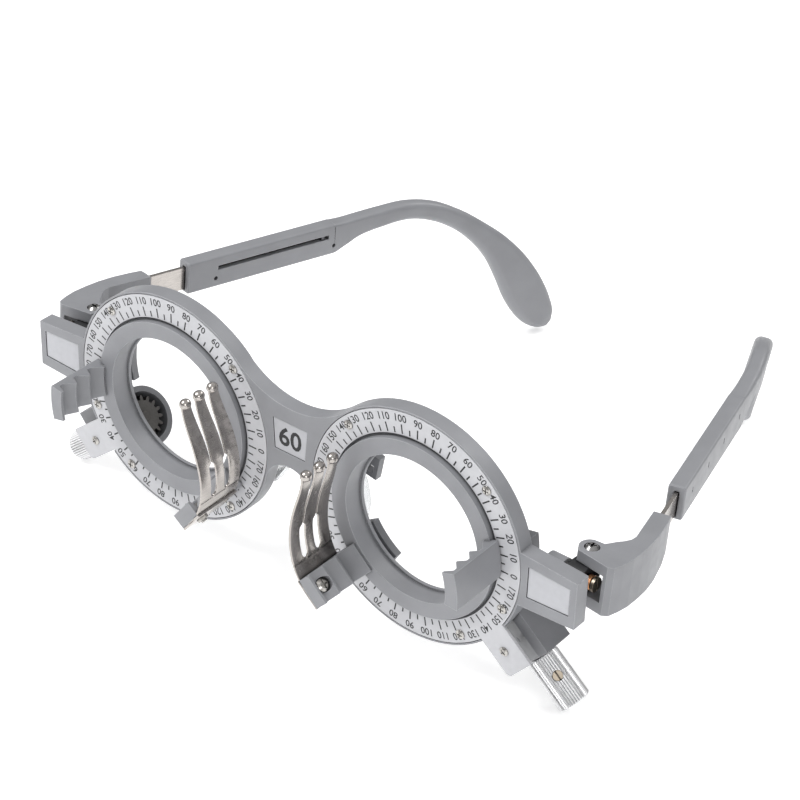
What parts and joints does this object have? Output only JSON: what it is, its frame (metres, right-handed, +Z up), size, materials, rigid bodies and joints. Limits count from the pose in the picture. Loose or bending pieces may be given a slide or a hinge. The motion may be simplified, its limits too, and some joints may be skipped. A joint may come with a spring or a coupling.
{
  "type": "trial lens frame",
  "caption": "Optician's trial frame with rotating lens cells turned by knobs, axis dials, and tilting, folding, sliding temples with curved ear hooks",
  "frame": {"origin": "midway between the two optical centres, on the flat front face of the bridge", "axes": "+X to the right of someone who looks at the front, +Y from the front face back along the temples to the wearer, +Z up"},
  "size_m": [0.1393, 0.1461, 0.0678],
  "materials": {
    "frame_grey": "satin grey moulding",
    "dark_grey": "satin darker grey moulding",
    "silver_plate": "brushed",
    "dial_white": "matt white with black graduations",
    "screw_steel": "satin",
    "screw_chrome": "polished",
    "spring_steel": "satin",
    "knob_aluminium": "straight knurled",
    "shaft_steel": "turned",
    "brass_screw": "turned",
    "copper_spring": "drawn wire",
    "dark_knuckle": "black",
    "dark_pin": "dark",
    "pad_clear": "clear soft"
  },
  "bodies": {
    "frame": {"front_frame": "frame_grey", "pd_plate": "silver_plate", "left_dial": "dial_white", "right_dial": "dial_white", "left_dial_screws": "screw_steel", "right_dial_screws": "screw_steel", "left_end_plate": "silver_plate", "right_end_plate": "silver_plate", "left_rear_ring": "dark_grey", "right_rear_ring": "dark_grey", "left_gear_housing": "dark_grey", "right_gear_housing": "dark_grey", "left_nose_arm": "dark_grey", "right_nose_arm": "dark_grey", "left_nose_pad": "pad_clear", "right_nose_pad": "pad_clear", "left_tilt_screw": "brass_screw", "right_tilt_screw": "brass_screw", "left_tilt_spring": "copper_spring", "right_tilt_spring": "copper_spring"},
    "left_cell": {"left_lens_cell": "frame_grey", "left_crown_ring": "shaft_steel", "left_lens_clip": "spring_steel", "left_clip_screw": "screw_steel"},
    "left_drive": {"left_knob_shaft": "shaft_steel", "left_pinion": "shaft_steel", "left_knob": "knob_aluminium", "left_knob_screw": "brass_screw"},
    "left_knuckle": {"left_tilt_block": "dark_knuckle"},
    "left_arm": {"left_hinge_bracket": "frame_grey", "left_hinge_screw": "screw_chrome", "left_slide_strip": "spring_steel", "left_strip_pin": "dark_pin"},
    "left_earpiece": {"left_temple": "frame_grey"},
    "right_cell": {"right_lens_cell": "frame_grey", "right_crown_ring": "shaft_steel", "right_lens_clip": "spring_steel", "right_clip_screw": "screw_steel"},
    "right_drive": {"right_knob_shaft": "shaft_steel", "right_pinion": "shaft_steel", "right_knob": "knob_aluminium", "right_knob_screw": "brass_screw"},
    "right_knuckle": {"right_tilt_block": "dark_knuckle"},
    "right_arm": {"right_hinge_bracket": "frame_grey", "right_hinge_screw": "screw_chrome", "right_slide_strip": "spring_steel", "right_strip_pin": "dark_pin"},
    "right_earpiece": {"right_temple": "frame_grey"}
  },
  "joints": [
    {"name": "left_cell_turn", "type": "hinge", "parent": "frame", "child": "left_cell", "pos_m": [-0.03, 0.001, 0], "axis": [0, 1, 0], "continuous": true},
    {"name": "left_knob_turn", "type": "hinge", "parent": "frame", "child": "left_drive", "pos_m": [-0.05915, 0.00725, -0.02438], "axis": [-0.7672, 0, -0.6414], "continuous": true},
    {"name": "left_tilt", "type": "hinge", "parent": "frame", "child": "left_knuckle", "pos_m": [-0.0619, 0.0076, 0.0002], "axis": [1, 0, 0], "range_deg": [-7, 8]},
    {"name": "left_fold", "type": "hinge", "parent": "left_knuckle", "child": "left_arm", "pos_m": [-0.0619, 0.01057, -0.00026], "axis": [0, 0.0872, 0.9962], "range_deg": [-67, 23]},
    {"name": "left_length", "type": "slide", "parent": "left_arm", "child": "left_earpiece", "axis": [0.225, 0.9707, -0.0849], "range_m": [-0.001, 0.027]},
    {"name": "right_cell_turn", "type": "hinge", "parent": "frame", "child": "right_cell", "pos_m": [0.03, 0.001, 0], "axis": [0, 1, 0], "continuous": true},
    {"name": "right_knob_turn", "type": "hinge", "parent": "frame", "child": "right_drive", "pos_m": [0.05915, 0.00725, -0.02438], "axis": [0.7672, 0, -0.6414], "continuous": true},
    {"name": "right_tilt", "type": "hinge", "parent": "frame", "child": "right_knuckle", "pos_m": [0.0619, 0.0076, 0.0002], "axis": [1, 0, 0], "range_deg": [-7, 8]},
    {"name": "right_fold", "type": "hinge", "parent": "right_knuckle", "child": "right_arm", "pos_m": [0.0619, 0.01057, -0.00026], "axis": [0, 0.0872, 0.9962], "range_deg": [-25, 60]},
    {"name": "right_length", "type": "slide", "parent": "right_arm", "child": "right_earpiece", "axis": [-0.2588, 0.9623, -0.0842], "range_m": [-0.001, 0.027]}
  ],
  "couplings": [
    {"joint": "left_knob_turn", "follows": "left_cell_turn", "ratio": 5},
    {"joint": "right_knob_turn", "follows": "right_cell_turn", "ratio": 5}
  ]
}
